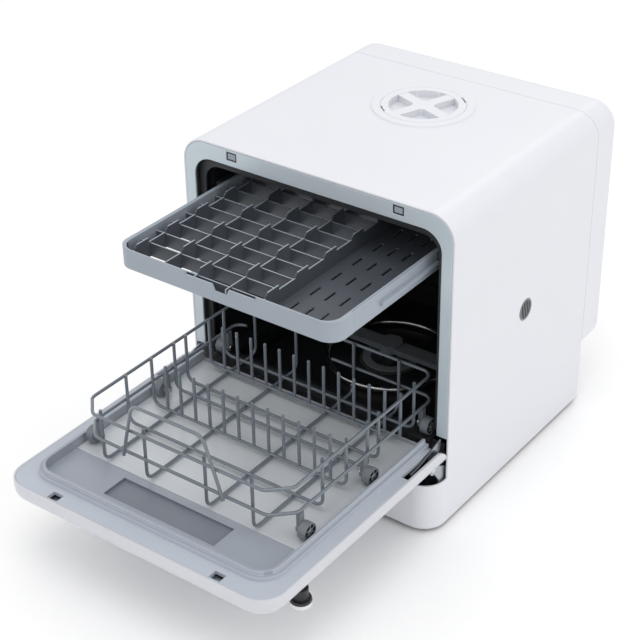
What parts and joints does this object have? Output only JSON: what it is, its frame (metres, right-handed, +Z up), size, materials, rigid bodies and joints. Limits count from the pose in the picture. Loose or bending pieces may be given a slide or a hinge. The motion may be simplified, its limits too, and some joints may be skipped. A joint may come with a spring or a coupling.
{
  "type": "countertop dishwasher",
  "caption": "Small countertop dishwasher with drop-down front door, rolling wire rack, sliding grid tray, spray arm, top water filler and side vent.",
  "frame": {"origin": "on the floor under the middle of the whole object with its door open", "axes": "+X to the machine's right as seen from the front, +Y from the door to the back, +Z up"},
  "size_m": [0.42, 0.792, 0.455],
  "materials": {
    "casing_white": "smooth satin white",
    "rear_grey": "matt",
    "base_grey": "matt",
    "foot_rubber": "matt",
    "bright_steel": "bright",
    "frame_grey": "light blue-grey, satin",
    "seal_rubber": "matt",
    "tub_dark": "dark satin",
    "rail_grey": "matt",
    "hinge_steel": "plain sheet steel",
    "latch_grey": "matt",
    "tank_plastic": "milky",
    "vent_grey": "matt dark grey",
    "filter_grey": "matt",
    "pump_black": "matt",
    "board_green": "board",
    "liner_grey": "blue-grey, satin",
    "door_steel": "polished",
    "knob_white": "gloss with a dark back disc",
    "tray_grey": "matt grey",
    "wire_grey": "grey coating on steel wire",
    "wheel_grey": "matt"
  },
  "bodies": {
    "casing": {"outer_shell": "casing_white", "back_cover": "casing_white", "rear_panel": "rear_grey", "base_pan": "base_grey", "feet": "foot_rubber", "shell_screws": "bright_steel", "front_frame": "frame_grey", "door_gasket": "seal_rubber", "tub": "tub_dark", "tub_sill": "seal_rubber", "tray_rail_left": "rail_grey", "tray_rail_right": "rail_grey", "hinge_bracket_left": "hinge_steel", "hinge_bracket_right": "hinge_steel", "hinge_pins": "bright_steel", "latch_springs": "bright_steel", "filler_collar": "casing_white", "water_tank": "tank_plastic", "vent_grille": "vent_grey", "fan_housing": "base_grey", "sump": "base_grey", "filter_cup": "filter_grey", "spray_pipe": "rail_grey", "heater": "bright_steel", "wash_pump": "pump_black", "drain_pump": "pump_black", "inlet_valve": "tank_plastic", "control_board": "board_green", "power_inlet": "pump_black", "inlet_spigot": "filter_grey", "drain_spigot": "filter_grey"},
    "door": {"door_panel": "casing_white", "door_liner": "liner_grey", "door_plate": "door_steel", "latch_strikers": "hinge_steel", "hinge_arm_left": "hinge_steel", "hinge_arm_right": "hinge_steel", "knob_encoder": "board_green"},
    "knob": {"control_knob": "knob_white"},
    "tray": {"cutlery_tray": "tray_grey", "tray_runner_left": "tray_grey", "tray_runner_right": "tray_grey"},
    "axles": {"front_axles": "bright_steel"},
    "rack": {"rack_rails": "wire_grey", "rack_long_wires": "wire_grey", "rack_cross_wires": "wire_grey", "rack_handle": "wire_grey", "rack_tines": "wire_grey", "wheel_brackets": "wheel_grey", "rear_axles": "bright_steel"},
    "wheels_front": {"front_wheels": "wheel_grey"},
    "wheels_middle": {"middle_wheels": "wheel_grey"},
    "wheels_rear": {"rear_wheels": "wheel_grey"},
    "catch_left": {"latch_left": "latch_grey"},
    "catch_right": {"latch_right": "latch_grey"},
    "cap": {"filler_cap": "casing_white", "cap_seal": "seal_rubber"},
    "sprayer": {"spray_arm": "filter_grey"},
    "fan": {"fan_rotor": "rail_grey"},
    "impeller": {"pump_impeller": "tank_plastic"}
  },
  "joints": [
    {"name": "door_hinge", "type": "hinge", "parent": "casing", "child": "door", "pos_m": [0, -0.045, 0.102], "axis": [-1, 0, 0], "range_deg": [0, 90]},
    {"name": "tray_slide", "type": "slide", "parent": "casing", "child": "tray", "axis": [0, 1, 0], "range_m": [0, 0.196]},
    {"name": "rack_track", "type": "slide", "parent": "door", "child": "axles", "axis": [0, 0.981, 0.1941], "range_m": [0, 0.1933]},
    {"name": "rack_level", "type": "hinge", "parent": "axles", "child": "rack", "pos_m": [0, -0.268, 0.1355], "axis": [1, 0, 0], "range_deg": [0, 90]},
    {"name": "front_wheel_spin", "type": "hinge", "parent": "axles", "child": "wheels_front", "pos_m": [0, -0.268, 0.1355], "axis": [1, 0, 0], "continuous": true},
    {"name": "middle_wheel_spin", "type": "hinge", "parent": "rack", "child": "wheels_middle", "pos_m": [0, -0.137, 0.1355], "axis": [1, 0, 0], "continuous": true},
    {"name": "rear_wheel_spin", "type": "hinge", "parent": "rack", "child": "wheels_rear", "pos_m": [0, -0.006, 0.1355], "axis": [1, 0, 0], "continuous": true},
    {"name": "knob_turn", "type": "hinge", "parent": "door", "child": "knob", "pos_m": [0.195, -0.315, 0.09], "axis": [0, 0, 1], "range_deg": [-135, 135]},
    {"name": "catch_left_press", "type": "slide", "parent": "casing", "child": "catch_left", "axis": [0, 1, 0], "range_m": [0, 0.004], "stiffness_N_per_m": 250},
    {"name": "catch_right_press", "type": "slide", "parent": "casing", "child": "catch_right", "axis": [0, 1, 0], "range_m": [0, 0.004], "stiffness_N_per_m": 250},
    {"name": "cap_lift", "type": "slide", "parent": "casing", "child": "cap", "axis": [0, 0, 1], "range_m": [0, 0.05]},
    {"name": "spray_spin", "type": "hinge", "parent": "casing", "child": "sprayer", "pos_m": [0, 0.16, 0.108], "axis": [0, 0, 1], "continuous": true},
    {"name": "fan_spin", "type": "hinge", "parent": "casing", "child": "fan", "pos_m": [0.19, 0.164, 0.24], "axis": [1, 0, 0], "continuous": true},
    {"name": "impeller_spin", "type": "hinge", "parent": "casing", "child": "impeller", "pos_m": [-0.09, 0.09, 0.037], "axis": [1, 0, 0], "continuous": true}
  ],
  "couplings": [
    {"joint": "tray_slide", "follows": "door_hinge", "m_per_rad": 0.12478},
    {"joint": "rack_track", "follows": "door_hinge", "m_per_rad": 0.12298},
    {"joint": "rack_level", "follows": "door_hinge", "ratio": 1}
  ]
}
